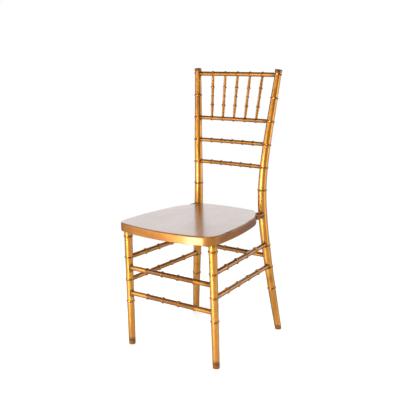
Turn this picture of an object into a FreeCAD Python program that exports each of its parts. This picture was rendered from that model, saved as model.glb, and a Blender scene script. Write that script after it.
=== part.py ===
"""Banquet chair of the chiavari form, moulded with bamboo rings.

Millimetres, +Z up, floor at z = 0. The front of the chair faces -Y and +X is the
viewer's right. X = 0 is the plane of symmetry, and the origin lies on the floor
under the middle of the chair. Each separate piece is written as one STEP file.
"""
import os

import FreeCAD, Part

os.makedirs("parts", exist_ok=True)
V = FreeCAD.Vector

# Back posts: the centreline of the right one, from the floor up
POST_LINE = (
    (182.2, 210.6, 0.0),
    (163.7, 192.7, 158.0),
    (146.2, 179.4, 314.6),
    (135.6, 173.2, 438.7),
    (133.8, 173.4, 512.3),
    (142.9, 187.5, 668.9),
    (157.0, 210.5, 824.0),
    (165.5, 223.2, 915.0),
)
POST_DIAMETERS = ((0.0, 23.4), (158.0, 27.4), (315.0, 29.6), (425.0, 31.0), (550.0, 28.4), (700.0, 26.6),
                  (905.0, 22.4))
POST_HEIGHT = 918.5
POST_CAP_DIAMETER = 25.2
POST_CAP_HEIGHT = 10.0
POST_CAP_CHAMFER = 1.2
POST_TOP_RING_DROP = 16.5
POST_LOW_RING_RISE = 73.3
POST_UPPER_RINGS = 6
POST_STATION_SPACING = 40.0

# Front legs: the right one's axis runs from its foot to its top
FRONT_FOOT = (174.7, -178.2)
FRONT_TOP = (169.8, -183.3)
FRONT_FOOT_DIAMETER = 23.1
FRONT_TOP_DIAMETER = 27.2
FRONT_TOP_RING = 386.5

# Rings shared by the legs and the lower posts
LEG_RING_FIRST = 158.0
LEG_RING_PITCH = 78.0
LEG_RINGS = 3
LEG_RING_LIFT = 2.3
LEG_RING_WIDTH = 7.0

# Rounded section of every ring: share of half its width, and share of its lift
RING_SECTION = ((-1.0, 0.0), (-0.6, 0.75), (0.0, 1.0), (0.6, 0.75), (1.0, 0.0))

# Stretchers
STRETCHER_DIAMETER = 16.3
STRETCHER_RING_LIFT = 2.6
STRETCHER_RING_WIDTH = 6.6
STRETCHER_RINGS = 4
FRONT_STRETCHER_UPPER = 276.5
FRONT_STRETCHER_LOWER = 187.0
BACK_STRETCHER = 277.0
SIDE_STRETCHER_UPPER = (313.3, 318.6)
SIDE_STRETCHER_LOWER = (234.5, 240.0)

# Back rails: how far each lies above its post ring, and how far its middle bows back
TOP_RAIL_DIAMETER = 15.4
BACK_RAIL_DIAMETER = 13.8
RAIL_RINGS = 5
RAIL_RING_LIFT = 2.2
RAIL_RING_WIDTH = 6.0
TOP_RAIL_RISE = -1.5
SPINDLE_RAIL_RISE = 0.1
UPPER_RAIL_RISE = 0.3
LOWER_RAIL_RISE = 1.2
TOP_RAIL_BOW = 8.6
BACK_RAIL_BOW = 4.0
RAIL_STATION_SPACING = 26.0

# Spindles, which swell towards their outer rings and narrow again between them
SPINDLE_END_DIAMETER = 8.0
SPINDLE_SWELL_DIAMETER = 10.4
SPINDLE_WAIST_DIAMETER = 8.4
SPINDLE_RING_LIFT = 2.1
SPINDLE_RING_WIDTH = 5.4
SPINDLE_RING_PLACES = (0.3, 0.5, 0.7)
SPINDLE_SINK = 3.4

# Seat shell
SEAT_HEIGHT = 438.7
SEAT_SKIRT = 28.0
SEAT_WALL = 3.5
SEAT_TOP = 4.0
SEAT_FRONT = -239.7
SEAT_BACK = 175.3
SEAT_FRONT_CORNER = (189.5, -210.5)
SEAT_SIDE_MIDDLE = (184.2, -29.0)
SEAT_NOTCH_START = (166.0, 71.0)
SEAT_NOTCH_END = (108.0, 165.5)
SEAT_NOTCH_CROWN = 6.5
FRONT_CORNER_RADIUS = 45.0
SIDE_CORNER_RADIUS = 60.0
BACK_CORNER_RADIUS = 22.0
SEAT_ROLL_RADIUS = 5.0
SKIRT_ROLL_RADIUS = 1.2
RIB_THICKNESS = 2.6
RIB_DEPTH = 9.0
RIB_SPACING = 62.0
RIBS_EACH_SIDE = 2
BOSS_DIAMETER = 30.0

# Rear ears of the seat, with their bolts and cross nuts
EAR_DIAMETER = 26.0
EAR_CENTRE_DROP = 11.7
EAR_LENGTH = 22.0
BOLT_DIAMETER = 6.0
BOLT_HEAD_DIAMETER = 12.0
BOLT_HEAD_HEIGHT = 4.0
BOLT_HEAD_RECESS = 1.0
BOLT_HEX = 4.0
BOLT_HEX_DEPTH = 2.4
BOLT_REACH = 24.0
NUT_DIAMETER = 10.0
NUT_LENGTH = 17.0
NUT_SETBACK = 15.0

# Leg tenons, their cross screws and the foot glides
LEG_TENON_DIAMETER = 18.0
LEG_TENON_LENGTH = 19.0
SCREW_DIAMETER = 4.0
SCREW_LENGTH = 15.0
SCREW_HEAD_DIAMETER = 8.0
SCREW_HEAD_HEIGHT = 2.6
GLIDE_HEIGHT = 13.0
GLIDE_DIAMETER = 22.8
GLIDE_EDGE_RADIUS = 2.6
GLIDE_SPIGOT_DIAMETER = 11.0
GLIDE_SPIGOT_LENGTH = 16.0

# Fits
SOCKET_CLEARANCE = 0.15
BORE_CLEARANCE = 0.3
TENON_STOP = 3.0
OVERRUN = 30.0

UP = V(0, 0, 1)
X_AXIS = V(1, 0, 0)
Y_AXIS = V(0, 1, 0)


def unit(vector):
    """The same direction with length one."""
    copy = V(vector)
    copy.normalize()
    return copy


def blend(pairs, place):
    """Straight-line value between (place, value) pairs."""
    for (low, first), (high, second) in zip(pairs, pairs[1:]):
        if place <= high:
            break
    share = (place - low) / (high - low)
    return first + share * (second - first)


def rod(start, direction, length, diameter):
    """Plain cylinder from a point along a direction."""
    return Part.makeCylinder(diameter / 2, length, start, direction)


def ring_stations(centre, width, lift):
    """Places across one bamboo ring with what each adds to the radius."""
    return [(centre + across * width / 2, rise * lift) for across, rise in RING_SECTION]


def filled(stations, step):
    """Stations with plain ones added wherever two lie further apart than a step."""
    result = [stations[0]]
    for place, lift in stations[1:]:
        gap = place - result[-1][0]
        extra = int(gap // step)
        first = result[-1][0]
        result += [(first + gap * (i + 1) / (extra + 1), 0.0) for i in range(extra)]
        result.append((place, lift))
    return result


def section(point, tangent, radius):
    """Circle across a centreline."""
    wire = Part.Wire(Part.makeCircle(radius))
    wire.Placement = FreeCAD.Placement(point, FreeCAD.Rotation(UP, tangent))
    return wire


def turned_bar(start, end, profile):
    """Straight turned bar: profile pairs give distance from the start and radius."""
    outline = [V(0, 0, profile[0][0])]
    outline += [V(radius, 0, place) for place, radius in profile]
    outline.append(V(0, 0, profile[-1][0]))
    face = Part.Face(Part.makePolygon(outline + outline[:1]))
    solid = face.revolve(V(0, 0, 0), UP, 360)
    solid.Placement = FreeCAD.Placement(start, FreeCAD.Rotation(UP, end - start))
    return solid


def ringed_profile(first, last, rings, radius_at, ring):
    """Profile of a straight bar with rings at the given places."""
    stations = [(first, 0.0)]
    for centre in rings:
        stations += ring_stations(centre, *ring)
    stations.append((last, 0.0))
    return [(place, radius_at(place) + lift) for place, lift in stations]


def spline_of(points):
    """Smooth curve through the given points."""
    curve = Part.BSplineCurve()
    curve.interpolate([V(*point) for point in points])
    return curve


POST_CURVE = spline_of(POST_LINE)


def post_frame(height):
    """Point and direction of the right post's centreline at a height."""
    low, high = POST_CURVE.FirstParameter, POST_CURVE.LastParameter
    inside = min(max(height, POST_LINE[0][2]), POST_LINE[-1][2])
    for _ in range(50):
        middle = (low + high) / 2
        if POST_CURVE.value(middle).z < inside:
            low = middle
        else:
            high = middle
    tangent = unit(V(*POST_CURVE.tangent(low)[0]))
    return POST_CURVE.value(low) + tangent * ((height - inside) / tangent.z), tangent


def post_radius(height):
    return blend(POST_DIAMETERS, height) / 2


def front_frame(height):
    """Point and direction of the right front leg's axis at a height."""
    foot = V(*FRONT_FOOT, 0)
    top = V(*FRONT_TOP, SEAT_HEIGHT - SEAT_SKIRT)
    return foot + (top - foot) * (height / top.z), unit(top - foot)


def front_radius(height):
    ends = ((0.0, FRONT_FOOT_DIAMETER), (SEAT_HEIGHT - SEAT_SKIRT, FRONT_TOP_DIAMETER))
    return blend(ends, height) / 2


def leg_ring_heights():
    return [LEG_RING_FIRST + LEG_RING_PITCH * i for i in range(LEG_RINGS)]


def upper_ring_height(place):
    """Height of a post's ring above the seat, counted down from the top."""
    top = POST_HEIGHT - POST_TOP_RING_DROP
    low = SEAT_HEIGHT + POST_LOW_RING_RISE
    return top - (top - low) * place / (POST_UPPER_RINGS - 1)


def post_ring_heights():
    return leg_ring_heights() + [upper_ring_height(place) for place in range(POST_UPPER_RINGS)][::-1]


def lofted_bar(frames):
    """Bar through round sections given as (point, direction, radius)."""
    return Part.makeLoft([section(*frame) for frame in frames], True, True)


def floor_slab(bottom, top):
    """Wide block between two heights."""
    reach = 1000.0
    return Part.makeBox(2 * reach, 2 * reach, top - bottom, V(-reach, -reach, bottom))


def cap_stations():
    """Flared cap of a post, as heights with what each adds to the radius."""
    flare = (POST_CAP_DIAMETER - POST_DIAMETERS[-1][1]) / 2
    base = POST_HEIGHT - POST_CAP_HEIGHT
    return [(base, 0.0), (base + POST_CAP_CHAMFER, flare),
            (POST_HEIGHT - POST_CAP_CHAMFER, flare), (POST_HEIGHT, flare - POST_CAP_CHAMFER)]


def post_blank():
    """Right post before its sockets are cut."""
    stations = [(-OVERRUN, 0.0), (GLIDE_HEIGHT, 0.0)]
    for centre in post_ring_heights():
        stations += ring_stations(centre, LEG_RING_WIDTH, LEG_RING_LIFT)
    stations = filled(stations, POST_STATION_SPACING) + cap_stations()
    frames = [(*post_frame(height), post_radius(height) + lift) for height, lift in stations]
    return lofted_bar(frames).cut(floor_slab(-2 * OVERRUN, GLIDE_HEIGHT))


def front_leg_blank():
    """Right front leg before its sockets are cut, with the tenon for the seat."""
    shoulder = SEAT_HEIGHT - SEAT_SKIRT
    rings = leg_ring_heights() + [FRONT_TOP_RING]
    profile = ringed_profile(-OVERRUN, shoulder, rings, front_radius,
                             (LEG_RING_WIDTH, LEG_RING_LIFT))
    tenon = LEG_TENON_DIAMETER / 2
    profile += [(shoulder, tenon), (shoulder + LEG_TENON_LENGTH, tenon)]
    leg = turned_bar(V(*FRONT_FOOT, 0), V(*FRONT_TOP, shoulder), profile)
    return leg.cut(floor_slab(-2 * OVERRUN, GLIDE_HEIGHT))


def spigot(frame_at, diameter, start, length):
    """Round peg on a leg's axis, from a height up."""
    point, direction = frame_at(start)
    return rod(point, direction, length, diameter)


def glide(frame_at):
    """Foot glide: a rounded puck with a peg that plugs into the leg."""
    point, direction = frame_at(-OVERRUN)
    puck = rod(point, direction, 3 * OVERRUN, GLIDE_DIAMETER).common(floor_slab(0, GLIDE_HEIGHT))
    sole = [edge for edge in puck.Edges if edge.BoundBox.ZMax < GLIDE_HEIGHT / 4]
    puck = puck.makeFillet(GLIDE_EDGE_RADIUS, sole)
    peg_start = GLIDE_HEIGHT / 2
    peg_length = GLIDE_HEIGHT - peg_start + GLIDE_SPIGOT_LENGTH
    return puck.fuse(spigot(frame_at, GLIDE_SPIGOT_DIAMETER, peg_start, peg_length))


def glide_bore(frame_at):
    """Hole in a leg's end for the glide's peg."""
    start = -OVERRUN
    length = GLIDE_HEIGHT + GLIDE_SPIGOT_LENGTH + OVERRUN + BORE_CLEARANCE
    return spigot(frame_at, GLIDE_SPIGOT_DIAMETER + 2 * SOCKET_CLEARANCE, start, length)


def straight_stretcher(start, end, start_radius, end_radius):
    """Ringed stretcher between two leg axes, stopping short of each."""
    length = (end - start).Length
    clear_first = start_radius
    clear_last = length - end_radius
    pitch = (clear_last - clear_first) / (STRETCHER_RINGS + 1)
    rings = [clear_first + pitch * (i + 1) for i in range(STRETCHER_RINGS)]
    profile = ringed_profile(TENON_STOP, length - TENON_STOP, rings, lambda place: STRETCHER_DIAMETER / 2,
                             (STRETCHER_RING_WIDTH, STRETCHER_RING_LIFT))
    return turned_bar(start, end, profile)


def socket(axis_point, towards, diameter):
    """Blind hole in a leg for a bar that comes from the given direction."""
    direction = unit(towards)
    start = axis_point + direction * TENON_STOP
    return rod(start, direction, OVERRUN, diameter + 2 * SOCKET_CLEARANCE)


def mirrored(point):
    return V(-point.x, point.y, point.z)


def flip(shape):
    """The same shape on the other side of the chair."""
    return shape.mirror(V(0, 0, 0), X_AXIS)


def cross_stretcher(frame_at, radius_at, height):
    """Stretcher from the left leg to the right leg at one height."""
    right = frame_at(height)[0]
    return straight_stretcher(mirrored(right), right, radius_at(height), radius_at(height))


def side_ends(heights):
    """Right side stretcher's ends on the front leg's and the post's axes."""
    return front_frame(heights[0])[0], post_frame(heights[1])[0]


def side_stretcher(heights):
    start, end = side_ends(heights)
    return straight_stretcher(start, end, front_radius(heights[0]), post_radius(heights[1]))


def rails():
    """Each rail's post ring, counted from the top, its rise above that ring, its bow and its diameter."""
    return {
        "top_rail": (0, TOP_RAIL_RISE, TOP_RAIL_BOW, TOP_RAIL_DIAMETER),
        "spindle_rail": (2, SPINDLE_RAIL_RISE, BACK_RAIL_BOW, BACK_RAIL_DIAMETER),
        "upper_back_rail": (3, UPPER_RAIL_RISE, BACK_RAIL_BOW, BACK_RAIL_DIAMETER),
        "lower_back_rail": (4, LOWER_RAIL_RISE, BACK_RAIL_BOW, BACK_RAIL_DIAMETER),
    }


def rail_height(name):
    """Height of a rail where it meets the posts."""
    ring, rise = rails()[name][:2]
    return upper_ring_height(ring) + rise


def rail_arc(name):
    """Centreline of a rail between the two posts' axes."""
    bow = rails()[name][2]
    right = post_frame(rail_height(name))[0]
    middle = V(0, right.y + bow, right.z)
    return Part.Arc(mirrored(right), middle, right)


def rail_ring_places(name):
    """Distances along a rail's arc to its rings."""
    length = rail_arc(name).length()
    radius = post_radius(rail_height(name))
    pitch = (length - 2 * radius) / (RAIL_RINGS + 1)
    return [radius + pitch * (i + 1) for i in range(RAIL_RINGS)]


def rail_ring_points(name):
    arc = rail_arc(name)
    return [arc.value(arc.parameterAtDistance(place)) for place in rail_ring_places(name)]


def rail_blank(name):
    """Bowed rail with five rings."""
    arc = rail_arc(name)
    radius = rails()[name][3] / 2
    stations = [(TENON_STOP, 0.0)]
    for centre in rail_ring_places(name):
        stations += ring_stations(centre, RAIL_RING_WIDTH, RAIL_RING_LIFT)
    stations.append((arc.length() - TENON_STOP, 0.0))
    frames = []
    for place, lift in filled(stations, RAIL_STATION_SPACING):
        at = arc.parameterAtDistance(place)
        frames.append((arc.value(at), V(*arc.tangent(at)[0]), radius + lift))
    return lofted_bar(frames)


def rail_socket(name):
    """Hole in the right post for a rail's end."""
    arc = rail_arc(name)
    inwards = V(*arc.tangent(arc.LastParameter)[0]) * -1
    return socket(arc.value(arc.LastParameter), inwards, rails()[name][3])


def spindle_ends():
    """Pairs of points on the two upper rails that the spindles join."""
    return list(zip(rail_ring_points("spindle_rail"), rail_ring_points("top_rail")))


def spindle(low, high):
    """Thin turned bar between two rails, with three rings."""
    length = (high - low).Length
    rings = [length * share for share in SPINDLE_RING_PLACES]
    swell = ((0.0, SPINDLE_END_DIAMETER), (rings[0], SPINDLE_SWELL_DIAMETER),
             (rings[1], SPINDLE_WAIST_DIAMETER), (rings[2], SPINDLE_SWELL_DIAMETER),
             (length, SPINDLE_END_DIAMETER))
    ring = (SPINDLE_RING_WIDTH, SPINDLE_RING_LIFT)
    profile = ringed_profile(SPINDLE_SINK, length - SPINDLE_SINK, rings,
                             lambda place: blend(swell, place) / 2, ring)
    return turned_bar(low, high, profile)


def spindle_hole(start, towards):
    """Hole in a rail for a spindle's end."""
    direction = unit(towards)
    diameter = SPINDLE_END_DIAMETER + 4 * SOCKET_CLEARANCE
    return rod(start + direction * SPINDLE_SINK, direction, OVERRUN, diameter)


def seat_sides():
    """Circles that carry the seat's six bowed sides, from the front round by the right."""
    start, end = V(*SEAT_NOTCH_START, 0), V(*SEAT_NOTCH_END, 0)
    crown = (start + end) / 2 + unit((end - start).cross(UP)) * SEAT_NOTCH_CROWN
    corner = V(*SEAT_FRONT_CORNER, 0)
    front = Part.Circle(mirrored(corner), V(0, SEAT_FRONT, 0), corner)
    side = Part.Circle(corner, V(*SEAT_SIDE_MIDDLE, 0), start)
    notch = Part.Circle(start, crown, end)
    back = Part.Circle(end, V(0, SEAT_BACK, 0), mirrored(end))
    right = [(side.Center, side.Radius), (notch.Center, notch.Radius)]
    left = [(mirrored(centre), radius) for centre, radius in right[::-1]]
    return [(front.Center, front.Radius)] + right + [(back.Center, back.Radius)] + left


def seat_corners():
    """Sharp corners between those sides, each with its rounding."""
    right = [(V(*SEAT_FRONT_CORNER, 0), FRONT_CORNER_RADIUS), (V(*SEAT_NOTCH_START, 0), SIDE_CORNER_RADIUS),
             (V(*SEAT_NOTCH_END, 0), BACK_CORNER_RADIUS)]
    return right + [(mirrored(point), radius) for point, radius in right[::-1]]


def rounding_centre(first, second, corner, radius):
    """Centre of the rounding that touches two circles from inside, near a corner."""
    first_reach = first[1] - radius
    second_reach = second[1] - radius
    apart = second[0] - first[0]
    along = (first_reach ** 2 - second_reach ** 2 + apart.Length ** 2) / (2 * apart.Length)
    off = (first_reach ** 2 - along ** 2) ** 0.5
    base = first[0] + unit(apart) * along
    sideways = unit(apart.cross(UP)) * off
    return min((base + sideways, base - sideways), key=lambda point: (point - corner).Length)


def arc_about(centre, radius, first, last):
    """Arc about a centre from one direction to another by the short way."""
    directions = (first, unit(first + last), last)
    return Part.Arc(*[centre + direction * radius for direction in directions]).toShape()


def seat_outline(inset, bottom, height):
    """Block with the seat's outline, drawn in by an inset."""
    sides = seat_sides()
    following = sides[1:] + sides[:1]
    corners = seat_corners()
    centres = [rounding_centre(side, after, *corner)
               for side, after, corner in zip(sides, following, corners)]
    edges = []
    for i, (middle, radius) in enumerate(sides):
        leaving = unit(centres[i] - middle)
        edges.append(arc_about(middle, radius - inset, unit(centres[i - 1] - middle), leaving))
        rounding = corners[i][1] - inset
        edges.append(arc_about(centres[i], rounding, leaving, unit(centres[i] - following[i][0])))
    plan = Part.Face(Part.Wire(edges))
    plan.translate(V(0, 0, bottom))
    return plan.extrude(V(0, 0, height))


def seat_skin():
    """Top and skirt with rolled edges, hollow from below."""
    bottom = SEAT_HEIGHT - SEAT_SKIRT
    outer = seat_outline(0, bottom, SEAT_SKIRT)
    halfway = bottom + SEAT_SKIRT / 2
    rims = [edge for edge in outer.Edges if edge.BoundBox.ZMin > halfway]
    outer = outer.makeFillet(SEAT_ROLL_RADIUS, rims)
    hems = [edge for edge in outer.Edges if edge.BoundBox.ZMax < halfway]
    outer = outer.makeFillet(SKIRT_ROLL_RADIUS, hems)
    return outer.cut(seat_outline(SEAT_WALL, bottom, SEAT_SKIRT - SEAT_TOP))


def seat_ribs():
    """Grid of ribs under the seat's top."""
    reach = 2 * SEAT_BACK
    top = SEAT_HEIGHT - SEAT_TOP / 2
    bottom = SEAT_HEIGHT - SEAT_TOP - RIB_DEPTH
    middle = (SEAT_FRONT + SEAT_BACK) / 2
    ribs = []
    for i in range(-RIBS_EACH_SIDE, RIBS_EACH_SIDE + 1):
        across = i * RIB_SPACING - RIB_THICKNESS / 2
        ribs.append(Part.makeBox(RIB_THICKNESS, 2 * reach, top - bottom, V(across, middle - reach, bottom)))
        ribs.append(Part.makeBox(2 * reach, RIB_THICKNESS, top - bottom, V(-reach, middle + across, bottom)))
    return ribs[0].multiFuse(ribs[1:])


def ear_height():
    return SEAT_HEIGHT - EAR_CENTRE_DROP


def ear_frame():
    """Centre of the post at the ear's height."""
    return post_frame(ear_height())[0]


def ear():
    """Round ear that runs back from the seat's right rear corner to the post."""
    centre = ear_frame()
    front = centre.y - post_radius(ear_height()) - EAR_LENGTH
    nose = V(centre.x, front, centre.z)
    barrel = rod(nose, Y_AXIS, centre.y - front, EAR_DIAMETER)
    return barrel.fuse(Part.makeSphere(EAR_DIAMETER / 2, nose))


def post_gauge():
    """Plain stretch of the right post beside the seat, larger by the clearance."""
    heights = [ear_height() + step * EAR_DIAMETER / 2 for step in range(-2, 3)]
    frames = [(*post_frame(height), post_radius(height) + SOCKET_CLEARANCE) for height in heights]
    return lofted_bar(frames)


def bolt_line():
    """Start of the bolt, behind the post, where its head seats."""
    centre = ear_frame()
    radius = post_radius(ear_height())
    return V(centre.x, centre.y + radius - BOLT_HEAD_HEIGHT - BOLT_HEAD_RECESS, centre.z)


def bolt_length():
    return bolt_line().y - (ear_frame().y - post_radius(ear_height())) + BOLT_REACH


def seat_bolt():
    """Bolt with a round head and a hexagon recess, from behind the post."""
    seat = bolt_line()
    shank = rod(seat, Y_AXIS * -1, bolt_length(), BOLT_DIAMETER)
    head = rod(seat, Y_AXIS, BOLT_HEAD_HEIGHT, BOLT_HEAD_DIAMETER)
    top = seat + Y_AXIS * BOLT_HEAD_HEIGHT
    hexagon = Part.makePolygon([section_point(top, BOLT_HEX / 3 ** 0.5, i) for i in range(7)])
    recess = Part.Face(hexagon).extrude(Y_AXIS * -BOLT_HEX_DEPTH)
    return shank.fuse(head).cut(recess)


def section_point(centre, radius, corner):
    """Corner of a hexagon that faces along Y."""
    turned = FreeCAD.Rotation(Y_AXIS, 60 * corner).multVec(V(radius, 0, 0))
    return centre + turned


def bolt_holes():
    """Clearance hole and head recess along the bolt."""
    seat = bolt_line()
    hole = rod(seat, Y_AXIS * -1, bolt_length() + BORE_CLEARANCE, BOLT_DIAMETER + BORE_CLEARANCE)
    recess = rod(seat, Y_AXIS, OVERRUN, BOLT_HEAD_DIAMETER + 2 * BORE_CLEARANCE)
    return hole.fuse(recess)


def nut_foot():
    """Lower end of the cross nut, centred on the bolt."""
    centre = ear_frame()
    place = centre.y - post_radius(ear_height()) - NUT_SETBACK
    return V(centre.x, place, centre.z - NUT_LENGTH / 2)


def barrel_nut():
    """Upright cross nut that the bolt passes through."""
    body = rod(nut_foot(), UP, NUT_LENGTH, NUT_DIAMETER)
    centre = ear_frame()
    return body.cut(rod(centre, Y_AXIS * -1, 2 * OVERRUN, BOLT_DIAMETER + SOCKET_CLEARANCE))


def nut_hole():
    """Pocket for the cross nut, open below."""
    foot = nut_foot()
    start = V(foot.x, foot.y, foot.z - OVERRUN)
    return rod(start, UP, OVERRUN + NUT_LENGTH, NUT_DIAMETER + 2 * SOCKET_CLEARANCE)


def leg_boss():
    """Solid corner boss over the right front leg, kept inside the seat's outline."""
    bottom = SEAT_HEIGHT - SEAT_SKIRT
    foot = front_frame(bottom)[0]
    boss = rod(foot, UP, SEAT_SKIRT - SEAT_TOP / 2, BOSS_DIAMETER)
    return boss.common(seat_outline(SEAT_WALL / 2, bottom, SEAT_SKIRT - SEAT_TOP / 2))


def leg_socket():
    """Blind hole in the boss for the leg's tenon."""
    bottom = SEAT_HEIGHT - SEAT_SKIRT
    point, direction = front_frame(bottom - OVERRUN)
    length = OVERRUN + LEG_TENON_LENGTH + SOCKET_CLEARANCE
    return rod(point, direction, length, LEG_TENON_DIAMETER + 2 * SOCKET_CLEARANCE)


def screw_seat():
    """Point on the boss's inner side where the cross screw's head rests."""
    middle = front_frame(SEAT_HEIGHT - SEAT_SKIRT + LEG_TENON_LENGTH / 2)[0]
    return V(middle.x - BOSS_DIAMETER / 2, middle.y, middle.z)


def leg_screw():
    """Cross screw through the boss into the leg's tenon."""
    seat = screw_seat()
    shank = rod(seat, X_AXIS, SCREW_LENGTH, SCREW_DIAMETER)
    head = rod(seat, X_AXIS * -1, SCREW_HEAD_HEIGHT, SCREW_HEAD_DIAMETER)
    return shank.fuse(head)


def screw_hole():
    """Hole along the cross screw, with a flat for its head."""
    seat = screw_seat()
    start = seat - X_AXIS * OVERRUN
    hole = rod(start, X_AXIS, OVERRUN + SCREW_LENGTH, SCREW_DIAMETER + 2 * SOCKET_CLEARANCE)
    flat = rod(start, X_AXIS, OVERRUN, SCREW_HEAD_DIAMETER + 2 * BORE_CLEARANCE)
    return hole.fuse(flat)


def both(shape):
    """A shape and its mirror image."""
    return [shape, flip(shape)]


def seat_shell():
    """Whole seat moulding."""
    inner = seat_outline(SEAT_WALL / 2, SEAT_HEIGHT - SEAT_SKIRT, SEAT_SKIRT)
    ribs = seat_ribs().common(inner)
    shell = seat_skin().multiFuse([ribs] + both(leg_boss()) + both(ear()))
    tools = []
    for tool in (post_gauge(), bolt_holes(), nut_hole(), leg_socket(), screw_hole()):
        tools += both(tool)
    for tool in tools:
        shell = shell.cut(tool)
    return shell.removeSplitter()


def right_post():
    """Right back post with every socket cut."""
    post = post_blank()
    tools = [glide_bore(post_frame), bolt_holes()]
    tools += [rail_socket(name) for name in rails()]
    for heights in (SIDE_STRETCHER_UPPER, SIDE_STRETCHER_LOWER):
        start, end = side_ends(heights)
        tools.append(socket(end, start - end, STRETCHER_DIAMETER))
    centre = post_frame(BACK_STRETCHER)[0]
    tools.append(socket(centre, X_AXIS * -1, STRETCHER_DIAMETER))
    for tool in tools:
        post = post.cut(tool)
    return post


def right_front_leg():
    """Right front leg with every socket cut."""
    leg = front_leg_blank()
    tools = [glide_bore(front_frame), screw_hole()]
    for height in (FRONT_STRETCHER_UPPER, FRONT_STRETCHER_LOWER):
        tools.append(socket(front_frame(height)[0], X_AXIS * -1, STRETCHER_DIAMETER))
    for heights in (SIDE_STRETCHER_UPPER, SIDE_STRETCHER_LOWER):
        start, end = side_ends(heights)
        tools.append(socket(start, end - start, STRETCHER_DIAMETER))
    for tool in tools:
        leg = leg.cut(tool)
    return leg


def rail_with_holes(name):
    """Rail with the holes for the spindles that end in it."""
    rail = rail_blank(name)
    for low, high in spindle_ends():
        if name == "top_rail":
            rail = rail.cut(spindle_hole(high, low - high))
        if name == "spindle_rail":
            rail = rail.cut(spindle_hole(low, high - low))
    return rail


def paired_pieces():
    """Pieces that come as a right one and its mirror image."""
    return {
        "back_post": right_post(),
        "front_leg": right_front_leg(),
        "side_stretcher_upper": side_stretcher(SIDE_STRETCHER_UPPER),
        "side_stretcher_lower": side_stretcher(SIDE_STRETCHER_LOWER),
        "front_glide": glide(front_frame),
        "back_glide": glide(post_frame),
        "seat_bolt": seat_bolt(),
        "barrel_nut": barrel_nut(),
        "leg_screw": leg_screw(),
    }


def single_pieces():
    """Pieces that lie across the plane of symmetry."""
    pieces = {name: rail_with_holes(name) for name in rails()}
    for number, (low, high) in enumerate(spindle_ends(), 1):
        pieces["spindle_%d" % number] = spindle(low, high)
    pieces["front_stretcher_upper"] = cross_stretcher(front_frame, front_radius, FRONT_STRETCHER_UPPER)
    pieces["front_stretcher_lower"] = cross_stretcher(front_frame, front_radius, FRONT_STRETCHER_LOWER)
    pieces["back_stretcher"] = cross_stretcher(post_frame, post_radius, BACK_STRETCHER)
    pieces["seat_shell"] = seat_shell()
    return pieces


def all_pieces():
    pieces = single_pieces()
    for name, shape in paired_pieces().items():
        pieces["right_" + name] = shape
        pieces["left_" + name] = flip(shape)
    return pieces


for name, shape in all_pieces().items():
    shape.exportStep("parts/%s.step" % name)
    print(name, "%.0f mm3" % shape.Volume, "valid" if shape.isValid() else "INVALID", len(shape.Solids))
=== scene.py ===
# %% [markdown]
# # A gold banquet chair
#
# The chair is moulded from resin with gold pigment in it: four legs, two of which run up
# into the back, four bowed rails, five thin spindles, seven stretchers and a thin skirted
# seat. Its solids come packed from the construction model, and they already have every
# ring and rounded edge. They could be modelled again here, but that would only add a
# second shape to keep in step. So this lesson keeps them and gives them their finish, a
# studio and a camera.

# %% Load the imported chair
import math

import bmesh
import bpy
from mathutils import Matrix, Vector

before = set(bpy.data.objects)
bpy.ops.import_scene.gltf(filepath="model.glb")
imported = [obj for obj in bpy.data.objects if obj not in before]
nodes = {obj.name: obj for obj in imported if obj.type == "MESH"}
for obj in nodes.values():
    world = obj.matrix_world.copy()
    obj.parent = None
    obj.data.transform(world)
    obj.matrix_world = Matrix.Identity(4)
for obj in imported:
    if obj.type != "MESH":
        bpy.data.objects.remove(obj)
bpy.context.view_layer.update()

# %% [markdown]
# Every piece is seen through the same camera. It could be placed by eye, but a chair is
# all straight bars, and a bar shows an error of one pixel. So its place and lens were
# solved from 110 points of the photograph, together with the chair's own sizes: it stands
# to the right of the chair and a little above the top rail, and leans by less than a
# degree.

# %% Set up the camera
CAMERA_PLACE = (1.3459, -1.8947, 1.0053)
CAMERA_AZIMUTH = 34.857
CAMERA_ELEVATION = 13.071
CAMERA_ROLL = -0.689
LENS_MM = 61.28
SENSOR_MM = 36.0


def towards(azimuth_degrees, elevation_degrees):
    """Direction from the chair; azimuth 0 is its front and 90 its right side as seen."""
    azimuth = math.radians(azimuth_degrees)
    elevation = math.radians(elevation_degrees)
    return Vector((math.sin(azimuth) * math.cos(elevation), -math.cos(azimuth) * math.cos(elevation),
                   math.sin(elevation)))


def camera_matrix():
    """Turns a camera so that it looks from its azimuth and elevation, then rolls it."""
    azimuth = math.radians(CAMERA_AZIMUTH)
    back = towards(CAMERA_AZIMUTH, CAMERA_ELEVATION)
    right = Vector((math.cos(azimuth), math.sin(azimuth), 0.0))
    up = back.cross(right)
    turned = Matrix((right, up, back)).transposed().to_4x4()
    roll = Matrix.Rotation(math.radians(CAMERA_ROLL), 4, "Z")
    return Matrix.Translation(CAMERA_PLACE) @ turned @ roll


camera_data = bpy.data.cameras.new("camera")
camera_data.lens = LENS_MM
camera_data.sensor_width = SENSOR_MM
camera = bpy.data.objects.new("camera", camera_data)
camera.matrix_world = camera_matrix()
bpy.context.scene.collection.objects.link(camera)
bpy.context.scene.camera = camera
bpy.context.scene.view_settings.view_transform = "Standard"
print("camera at", CAMERA_PLACE, "lens", LENS_MM)

# %% [markdown]
# Each finish is a small graph of shader nodes. The graphs could be laid out by hand in the
# editor, but in a script a few helpers say the same with less. The first ones join two
# sockets, add a node, make a noise, and take the height out of a place or a direction.

# %% Helpers for shader nodes
def link(tree, start, end):
    """Joins one socket to another."""
    tree.links.new(start, end)


def add(tree, kind, **settings):
    """Adds a node and sets its properties."""
    node = tree.nodes.new(kind)
    for name, value in settings.items():
        setattr(node, name, value)
    return node


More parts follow.
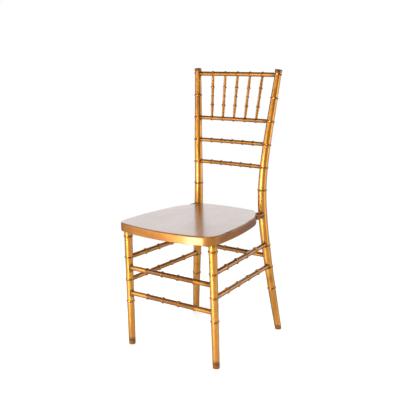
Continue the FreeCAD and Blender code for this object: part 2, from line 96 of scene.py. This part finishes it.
def noise(tree, vector, scale, detail=3.0, roughness=0.5, distortion=0.0):
    """Noise whose grain follows the given coordinates."""
    node = add(tree, "ShaderNodeTexNoise")
    node.inputs["Scale"].default_value = scale
    node.inputs["Detail"].default_value = detail
    node.inputs["Roughness"].default_value = roughness
    node.inputs["Distortion"].default_value = distortion
    link(tree, vector, node.inputs["Vector"])
    return node.outputs["Fac"]


def height_of(tree, vector):
    """Third component of a place, normal or direction."""
    node = add(tree, "ShaderNodeSeparateXYZ")
    link(tree, vector, node.inputs[0])
    return node.outputs["Z"]


print("node helpers:", [helper.__name__ for helper in (link, add, noise, height_of)])

# %% [markdown]
# A raw noise is grey and mostly near a half. It could be used as it is, but then every
# finish would look the same. So the next helpers turn it into colours or into a range of
# values, and mix and combine what comes out. A mix node holds the sockets of every kind
# of value, so the ones for colours and for plain levels are known by their places.

# %% Helpers for colours and ranges
MIX_FACTOR = 0
MIX_LEVELS = (2, 3)
MIX_COLOURS = (6, 7)
MIXED_LEVEL = 0
MIXED_COLOUR = 2


def ramp(tree, factor, stops):
    """Colour ramp through (place, colour) stops."""
    node = add(tree, "ShaderNodeValToRGB")
    elements = node.color_ramp.elements
    while len(elements) < len(stops):
        elements.new(0.5)
    for element, (place, colour) in zip(elements, stops):
        element.position = place
        element.color = (*colour, 1.0)
    link(tree, factor, node.inputs["Fac"])
    return node.outputs["Color"]


def spread(tree, factor, low, high, start=0.3, end=0.7):
    """Turns the stretch from start to end of a value into low to high."""
    node = add(tree, "ShaderNodeMapRange")
    link(tree, factor, node.inputs["Value"])
    for name, value in (("From Min", start), ("From Max", end), ("To Min", low), ("To Max", high)):
        node.inputs[name].default_value = value
    return node.outputs["Result"]


def combine(tree, operation, first, *others):
    """Runs plain arithmetic over several sockets."""
    for other in others:
        node = add(tree, "ShaderNodeMath", operation=operation)
        link(tree, first, node.inputs[0])
        link(tree, other, node.inputs[1])
        first = node.outputs[0]
    return first


def mix_colours(tree, first, second, factor):
    """Blends two colours; each colour and the factor may be a socket or a plain value."""
    node = add(tree, "ShaderNodeMix", data_type="RGBA")
    for place, value in zip((*MIX_COLOURS, MIX_FACTOR), (first, second, factor)):
        if isinstance(value, bpy.types.NodeSocket):
            link(tree, value, node.inputs[place])
        elif place == MIX_FACTOR:
            node.inputs[place].default_value = value
        else:
            node.inputs[place].default_value = (*value, 1.0)
    return node.outputs[MIXED_COLOUR]


def start_material(name):
    """Empty material with a shader joined to its output."""
    material = bpy.data.materials.new(name)
    material.use_nodes = True
    tree = material.node_tree
    tree.nodes.clear()
    shader = add(tree, "ShaderNodeBsdfPrincipled")
    output = add(tree, "ShaderNodeOutputMaterial")
    link(tree, shader.outputs["BSDF"], output.inputs["Surface"])
    return material, tree, shader


print("colour helpers:", [helper.__name__ for helper in (ramp, spread, combine, mix_colours)])

# %% [markdown]
# The gold is a pigment in glossy resin. It could be a plain metal, but the real thing has
# three layers: flakes that reflect like metal, resin that flowed in streaks while it
# filled the mould, and a smooth clear skin on top. So the shader is metallic with a clear
# coat, and its colour and roughness follow long streaks of noise along each bar. Blotches
# and brown scuffs, most of them near the floor, come on top, and so does painted shade: a
# darker, redder tone towards the top.

# %% Colour the pigment
DEEP_GOLD = (0.50, 0.190, 0.025)
GOLD = (0.80, 0.338, 0.042)
PALE_GOLD = (0.94, 0.47, 0.080)
# Darker, redder gold for painted shade.
RED_SHADE_GOLD = (0.52, 0.185, 0.026)
# Brown for painted shade, for the scuffs and for the ring crests.
SHADE_SCUFF_AND_CREST_BROWN = (0.14, 0.036, 0.004)
STREAK_STOPS = ((0.28, DEEP_GOLD), (0.50, GOLD), (0.72, PALE_GOLD))
STREAK_SCALE = 26.0
MOTTLE_SCALE = 55.0
MOTTLE_RANGE = (0.45, 0.75)
MOST_MOTTLE = 0.35
# Painted shade, darker and redder from the first height to the second.
TOP_SHADE_HEIGHTS = (0.25, 0.95)
MOST_TOP_SHADE = 0.30
WEAR_SCALE = 140.0
WEAR_RANGE = (0.60, 0.74)
WEAR_HEIGHTS = (0.0, 0.16)
MOST_WEAR = 0.7
WEAR_ABOVE = 0.12


def flow_colour(tree, streaks, place):
    """Pigment with paler and deeper streaks, blotches, and painted shade, redder towards the top."""
    gold = ramp(tree, streaks, STREAK_STOPS)
    mottle = noise(tree, place, MOTTLE_SCALE, detail=3.0, roughness=0.55, distortion=0.8)
    gold = mix_colours(tree, gold, DEEP_GOLD, spread(tree, mottle, 0.0, MOST_MOTTLE, *MOTTLE_RANGE))
    # Painted shade: darker and redder towards the top.
    red_shade = spread(tree, height_of(tree, place), 0.0, MOST_TOP_SHADE, *TOP_SHADE_HEIGHTS)
    return mix_colours(tree, gold, RED_SHADE_GOLD, red_shade)


def scuffed(tree, gold, place):
    """Brown scuffs, thick at the feet and rare above them."""
    low = spread(tree, height_of(tree, place), 1.0, WEAR_ABOVE, *WEAR_HEIGHTS)
    marks = noise(tree, place, WEAR_SCALE, detail=4.0, roughness=0.7, distortion=1.2)
    marks = spread(tree, marks, 0.0, MOST_WEAR, *WEAR_RANGE)
    return mix_colours(tree, gold, SHADE_SCUFF_AND_CREST_BROWN, combine(tree, "MULTIPLY", marks, low))


print("streak stops:", len(STREAK_STOPS))

# %% [markdown]
# Every ring is framed by thin brown lines, and each bar darkens towards its outline. On
# the crests of the rings the brown is the pigment's own tone, where it lies thinner; at
# the foot of each ring, in the joints and towards the outline it is painted shade. The
# lines could be painted as stripes at known heights. Here the shape says where they are:
# Pointiness finds the crest and foot of each ring, occlusion finds the joints, and the
# angle of view finds the outline.

# %% Brown the ring crests, paint shade into grooves, joints and outlines
# Painted shade at the outline, in the grooves at ring feet and in the joints; browner crests.
OUTLINE_SHADE_RANGE = (0.30, 0.75)
CREST_RANGE = (0.52, 0.565)
GROOVE_SHADE_RANGE = (0.43, 0.48)
CREST_TONE_AND_GROOVE_SHADE = 0.85
JOINT_SHADE_REACH = 0.010
JOINT_SHADE_RANGE = (0.35, 0.85)
JOINT_SHADE_SAMPLES = 8
EVEN_BLEND = 0.5


def darkened(tree, gold, edge, shade):
    """Browner ring crests; painted shade at the outline, at ring feet, in joints and, by shade, all over.
    """
    facing = add(tree, "ShaderNodeLayerWeight")
    facing.inputs["Blend"].default_value = EVEN_BLEND
    # Painted shade towards the outline.
    outline_shade = spread(tree, facing.outputs["Facing"], 0.0, edge, *OUTLINE_SHADE_RANGE)
    gold = mix_colours(tree, gold, SHADE_SCUFF_AND_CREST_BROWN, outline_shade)
    pointed = add(tree, "ShaderNodeNewGeometry").outputs["Pointiness"]
    # The pigment's own browner tone on ring crests; painted shade in the grooves at their foot.
    gold = mix_colours(tree, gold, SHADE_SCUFF_AND_CREST_BROWN, spread(tree, pointed, 0.0, CREST_TONE_AND_GROOVE_SHADE, *CREST_RANGE))
    gold = mix_colours(tree, gold, SHADE_SCUFF_AND_CREST_BROWN, spread(tree, pointed, CREST_TONE_AND_GROOVE_SHADE, 0.0, *GROOVE_SHADE_RANGE))
    # Painted shade in the joints.
    joint_shade = add(tree, "ShaderNodeAmbientOcclusion", samples=JOINT_SHADE_SAMPLES)
    joint_shade.inputs["Distance"].default_value = JOINT_SHADE_REACH
    gold = mix_colours(tree, SHADE_SCUFF_AND_CREST_BROWN, gold, spread(tree, joint_shade.outputs["AO"], 0.0, 1.0, *JOINT_SHADE_RANGE))
    # Painted shade over the whole piece, by the given amount.
    return mix_colours(tree, gold, SHADE_SCUFF_AND_CREST_BROWN, shade)


print("joints darken within", JOINT_SHADE_REACH * 1000, "mm")

# %% [markdown]
# A moulded skin is nearly smooth. What is left is a slight wave along the flow and the
# fine grain of the flakes. Both are bumps in the shader, because in the mesh they would
# take millions of faces.

# %% Give the skin its relief
SKIN_SCALE = 160.0
WAVE_STRENGTH = 0.04
WAVE_DEPTH = 0.0004
FLAKE_SCALE = 1400.0
FLAKE_STRENGTH = 0.025
FLAKE_DEPTH = 0.0001


def bump(tree, height, strength, depth):
    """Bump node of the given strength and depth."""
    node = add(tree, "ShaderNodeBump")
    node.inputs["Strength"].default_value = strength
    node.inputs["Distance"].default_value = depth
    link(tree, height, node.inputs["Height"])
    return node


def skin_normal(tree, along, place):
    """Slight waves along the flow and the grain of the flakes."""
    waves = bump(tree, noise(tree, along, SKIN_SCALE, detail=2.0), WAVE_STRENGTH, WAVE_DEPTH)
    flakes = bump(tree, noise(tree, place, FLAKE_SCALE, detail=1.0), FLAKE_STRENGTH, FLAKE_DEPTH)
    link(tree, waves.outputs["Normal"], flakes.inputs["Normal"])
    return flakes.outputs["Normal"]


print("wave depth:", WAVE_DEPTH * 1000, "mm")

# %% [markdown]
# Resin flows along a bar while it fills the mould, so posts and legs are streaked upwards,
# rails across and side stretchers from front to back. One material with turned coordinates
# for each piece could do it. Three materials that differ only in how they stretch the same
# noise are easier to follow. The spindles have a fourth, with a redder painted shade all
# over and a little less painted shade at their outline.

# %% Mix the gold for the bars
BAR_METAL = 0.9
BAR_COAT = 0.7
BAR_COAT_ROUGHNESS = 0.10
BAR_ROUGHNESS = (0.28, 0.40)
# Painted shade at the outline of bars and spindles, and a redder painted shade on the spindles.
BAR_OUTLINE_SHADE = 0.92
SPINDLE_OUTLINE_SHADE = 0.8
SPINDLE_RED_SHADE = 0.4
UPWARDS = (1.0, 1.0, 0.12)
ACROSS = (0.12, 1.0, 1.0)
BACKWARDS = (1.0, 0.12, 1.0)


def mix_gold(name, stretch, edge=BAR_OUTLINE_SHADE, shade=0.0, red_shade=0.0, roughness=BAR_ROUGHNESS):
    """Gold resin whose flow streaks run along the axis with the smallest stretch value."""
    material, tree, shader = start_material(name)
    place = add(tree, "ShaderNodeTexCoord").outputs["Object"]
    along = add(tree, "ShaderNodeMapping")
    along.inputs["Scale"].default_value = stretch
    link(tree, place, along.inputs["Vector"])
    flow = along.outputs["Vector"]
    streaks = noise(tree, flow, STREAK_SCALE, detail=4.0, roughness=0.6, distortion=0.4)
    gold = scuffed(tree, flow_colour(tree, streaks, place), place)
    # Redder painted shade over the whole piece, by the given amount.
    gold = darkened(tree, mix_colours(tree, gold, RED_SHADE_GOLD, red_shade), edge, shade)
    link(tree, gold, shader.inputs["Base Color"])
    link(tree, spread(tree, streaks, *roughness), shader.inputs["Roughness"])
    link(tree, skin_normal(tree, flow, place), shader.inputs["Normal"])
    shader.inputs["Metallic"].default_value = BAR_METAL
    shader.inputs["Coat Weight"].default_value = BAR_COAT
    shader.inputs["Coat Roughness"].default_value = BAR_COAT_ROUGHNESS
    return material, tree, shader


gold_upright = mix_gold("gold_upright", UPWARDS)[0]
gold_spindle = mix_gold("gold_spindle", UPWARDS, SPINDLE_OUTLINE_SHADE, red_shade=SPINDLE_RED_SHADE)[0]
gold_cross = mix_gold("gold_cross", ACROSS)[0]
gold_side = mix_gold("gold_side", BACKWARDS)[0]
print("gold finishes:", [m.name for m in bpy.data.materials])

# %% [markdown]
# The seat is the same resin, but its wide flat top has the glossiest skin. Seen at a low
# angle it mirrors the white studio and looks lilac grey, with the rear post as a brown
# stripe in it. Its skirt stays warm and satin. Two materials would need faces sorted by
# hand. One material can tell top from skirt by the height of the surface's normal, which
# here drives the weight of the coat.

# %% Mix the gold for the seat
SEAT_STRETCH = (0.5, 0.35, 1.0)
# The seat's painted shade: at its outline, then over its whole colour, brown and redder.
SEAT_OUTLINE_SHADE = 0.9
SEAT_SHADE = 0.38
SEAT_RED_SHADE = 0.5
SEAT_ROUGHNESS = (0.36, 0.46)
SEAT_METAL = 0.55
SKIRT_COAT = 0.12
TOP_COAT = 1.0
TOP_NORMALS = (0.6, 0.95)
SEAT_COAT_IOR = 2.4
SEAT_COAT_ROUGHNESS = 0.2


def mix_seat_gold():
    """The same resin under a thicker skin, glossiest on the flat top, with painted shade all over."""
    material, tree, shader = mix_gold("gold_seat", SEAT_STRETCH, SEAT_OUTLINE_SHADE, SEAT_SHADE, SEAT_RED_SHADE,
                                      SEAT_ROUGHNESS)
    up = height_of(tree, add(tree, "ShaderNodeNewGeometry").outputs["Normal"])
    link(tree, spread(tree, up, SKIRT_COAT, TOP_COAT, *TOP_NORMALS), shader.inputs["Coat Weight"])
    shader.inputs["Metallic"].default_value = SEAT_METAL
    shader.inputs["Coat IOR"].default_value = SEAT_COAT_IOR
    shader.inputs["Coat Roughness"].default_value = SEAT_COAT_ROUGHNESS
    return material


gold_seat = mix_seat_gold()
print("seat finish:", gold_seat.name)

# %% [markdown]
# The glides are tougher plastic in a browner colour, scuffed dull in places. The bolts,
# cross nuts and screws are zinc-plated steel. Both could be one flat colour, being so
# small, but the bolt heads show from behind and the feet from the front. So each has a
# noise that changes its colour and its roughness together, as wear does.

# %% Mix the glide plastic and the steel
GLIDE_STOPS = ((0.35, (0.16, 0.055, 0.012)), (0.65, (0.45, 0.19, 0.045)))
GLIDE_ROUGHNESS = (0.32, 0.6)
GLIDE_METAL = 0.35
STEEL_STOPS = ((0.3, (0.34, 0.34, 0.36)), (0.7, (0.56, 0.56, 0.58)))
STEEL_ROUGHNESS = (0.22, 0.42)
SCUFF_SCALE = 320.0


def mix_worn(name, stops, roughness, metal, detail, grain):
    """Satin surface whose colour and roughness follow the same fine scuffs."""
    material, tree, shader = start_material(name)
    place = add(tree, "ShaderNodeTexCoord").outputs["Object"]
    scuffs = noise(tree, place, SCUFF_SCALE, detail, grain)
    link(tree, ramp(tree, scuffs, stops), shader.inputs["Base Color"])
    link(tree, spread(tree, scuffs, *roughness), shader.inputs["Roughness"])
    shader.inputs["Metallic"].default_value = metal
    return material


glide_plastic = mix_worn("glide_plastic", GLIDE_STOPS, GLIDE_ROUGHNESS, GLIDE_METAL, detail=4.0, grain=0.65)
zinc_steel = mix_worn("zinc_steel", STEEL_STOPS, STEEL_ROUGHNESS, 1.0, detail=3.0, grain=0.5)
print("other finishes:", glide_plastic.name, zinc_steel.name)

# %% [markdown]
# The pieces are named after what they are, so a word in each name is enough to choose the
# finish. A list of all 31 names would say the same at greater length. The first word that
# fits wins: the leg screws come before the legs, and the spindle rail counts as a rail.

# %% Give every piece its finish
FINISHES = (
    ("glide", glide_plastic),
    ("bolt", zinc_steel), ("nut", zinc_steel), ("screw", zinc_steel),
    ("seat_shell", gold_seat),
    ("side_stretcher", gold_side),
    ("stretcher", gold_cross), ("rail", gold_cross),
    ("post", gold_upright), ("leg", gold_upright), ("spindle", gold_spindle),
)


def finish_for(name):
    """First finish whose word is in the piece's name."""
    return next(material for word, material in FINISHES if word in name)


for name, piece in nodes.items():
    piece.data.materials.clear()
    piece.data.materials.append(finish_for(name))
    print(name, "->", piece.data.materials[0].name)

# %% [markdown]
# The chair stands on white paper that ends nowhere. A huge plane would do, but its far
# part would turn grey in the distance. So the floor is a small disc that only has to hold
# the soft shadow at the feet, with a little glow for the camera that takes it up to the
# white of the world behind it.

# %% Build the floor
FLOOR_RADIUS = 1.0
FLOOR_SEGMENTS = 96
FLOOR_WHITE = (0.86, 0.86, 0.86, 1.0)
FLOOR_LIFT = 0.45
FLOOR_ROUGHNESS = 0.35
FLOOR_GLOSS = 0.3
WHITE = (1.0, 1.0, 1.0, 1.0)


def mix_floor():
    """Satin white paper that glows a little to the camera only."""
    material, tree, shader = start_material("floor_white")
    shader.inputs["Base Color"].default_value = FLOOR_WHITE
    shader.inputs["Roughness"].default_value = FLOOR_ROUGHNESS
    shader.inputs["Specular IOR Level"].default_value = FLOOR_GLOSS
    shader.inputs["Emission Color"].default_value = WHITE
    rays = add(tree, "ShaderNodeLightPath")
    lift = spread(tree, rays.outputs["Is Camera Ray"], 0.0, FLOOR_LIFT, 0.0, 1.0)
    link(tree, lift, shader.inputs["Emission Strength"])
    return material


def build_floor():
    """Round white floor under the chair."""
    mesh = bpy.data.meshes.new("floor")
    shape = bmesh.new()
    bmesh.ops.create_circle(shape, cap_ends=True, segments=FLOOR_SEGMENTS, radius=FLOOR_RADIUS)
    shape.to_mesh(mesh)
    shape.free()
    floor = bpy.data.objects.new("floor", mesh)
    bpy.context.scene.collection.objects.link(floor)
    mesh.materials.append(mix_floor())


build_floor()
print("floor radius:", FLOOR_RADIUS)

# %% [markdown]
# A glossy bar shows its surroundings as stripes, so what stands around the chair matters
# as much as the lamps. The studio could be built from cards and walls. A world that knows
# its directions is simpler: in reflections it is a white sweep behind the chair, a paler
# floor below and a dark room elsewhere. To the camera it is plain white, and to everything
# else an even light.

# %% Build the world
AMBIENT = 0.45
DARK_ROOM = 0.08
FAR_FLOOR = 0.55
SWEEP = 1.5
SWEEP_SIDES = (0.55, 0.80)
SWEEP_FOOT = (0.0, 0.08)
SWEEP_TOP = (0.45, 0.65)
FLOOR_FADE = (-0.12, 0.10)


def reflected_light(tree):
    """Level seen in reflections: white sweep behind, pale floor below, dark room elsewhere."""
    direction = add(tree, "ShaderNodeTexCoord").outputs["Generated"]
    behind = add(tree, "ShaderNodeVectorMath", operation="DOT_PRODUCT")
    behind.inputs[1].default_value = -towards(CAMERA_AZIMUTH, 0.0)
    link(tree, direction, behind.inputs[0])
    height = height_of(tree, direction)
    sweep = spread(tree, behind.outputs["Value"], 0.0, SWEEP, *SWEEP_SIDES)
    above = spread(tree, height, 0.0, 1.0, *SWEEP_FOOT)
    below = spread(tree, height, 1.0, 0.0, *SWEEP_TOP)
    floor_glow = spread(tree, height, FAR_FLOOR, DARK_ROOM, *FLOOR_FADE)
    return combine(tree, "MAXIMUM", combine(tree, "MULTIPLY", sweep, above, below), floor_glow)


def build_world():
    """White to the camera and through glass, the studio in reflections, even light otherwise."""
    world = bpy.data.worlds.new("studio")
    world.use_nodes = True
    tree = world.node_tree
    tree.nodes.clear()
    rays = add(tree, "ShaderNodeLightPath")
    level = add(tree, "ShaderNodeMix", data_type="FLOAT")
    even, glossy = MIX_LEVELS
    link(tree, rays.outputs["Is Glossy Ray"], level.inputs[MIX_FACTOR])
    level.inputs[even].default_value = AMBIENT
    link(tree, reflected_light(tree), level.inputs[glossy])
    seen = combine(tree, "MAXIMUM", level.outputs[MIXED_LEVEL], rays.outputs["Is Camera Ray"],
                   rays.outputs["Is Transmission Ray"])
    background = add(tree, "ShaderNodeBackground")
    background.inputs["Color"].default_value = WHITE
    link(tree, seen, background.inputs["Strength"])
    output = add(tree, "ShaderNodeOutputWorld")
    link(tree, background.outputs[0], output.inputs["Surface"])
    bpy.context.scene.world = world


build_world()
print("world:", bpy.context.scene.world.name)

# %% [markdown]
# The lamps are soft boxes, and each draws one kind of line. The key lamp and the narrow
# strip beside it draw the bright stripe on the posts, and stand so low that it fades
# towards the top. The left lamp lights the fronts of the rails, the side and rear lamps
# the right-hand band of each upright and the side stretchers, and the front lamp the
# skirt. One big lamp would light the chair as well, but it would smear these lines into
# one.

# %% Hang the lamps
AIM = Vector((0.0, 0.0, 0.45))

# Each lamp: name, azimuth, elevation, distance, width and height, watts.
LAMPS = (
    ("key_lamp", -6.0, -6.0, 2.4, (0.5, 0.9), 22.0),
    ("strip_lamp", -9.0, -6.0, 2.2, (0.14, 0.8), 19.0),
    ("left_lamp", -48.0, 10.0, 2.6, (1.1, 1.8), 15.0),
    ("side_lamp", 108.0, 8.0, 2.6, (1.3, 1.8), 14.0),
    ("rear_lamp", 146.0, 4.0, 2.8, (0.8, 1.2), 8.0),
    ("front_lamp", 22.0, 42.0, 3.0, (1.4, 0.9), 36.0),
)


def hang_lamp(name, azimuth, elevation, distance, size, power):
    """Soft box that faces the chair from a direction."""
    lamp = bpy.data.lights.new(name, "AREA")
    lamp.shape = "RECTANGLE"
    lamp.size, lamp.size_y = size
    lamp.energy = power
    back = towards(azimuth, elevation)
    holder = bpy.data.objects.new(name, lamp)
    holder.location = AIM + back * distance
    holder.rotation_mode = "QUATERNION"
    holder.rotation_quaternion = back.to_track_quat("Z", "Y")
    bpy.context.scene.collection.objects.link(holder)


for lamp in LAMPS:
    hang_lamp(*lamp)
print("lamps:", [lamp.name for lamp in bpy.data.lights])
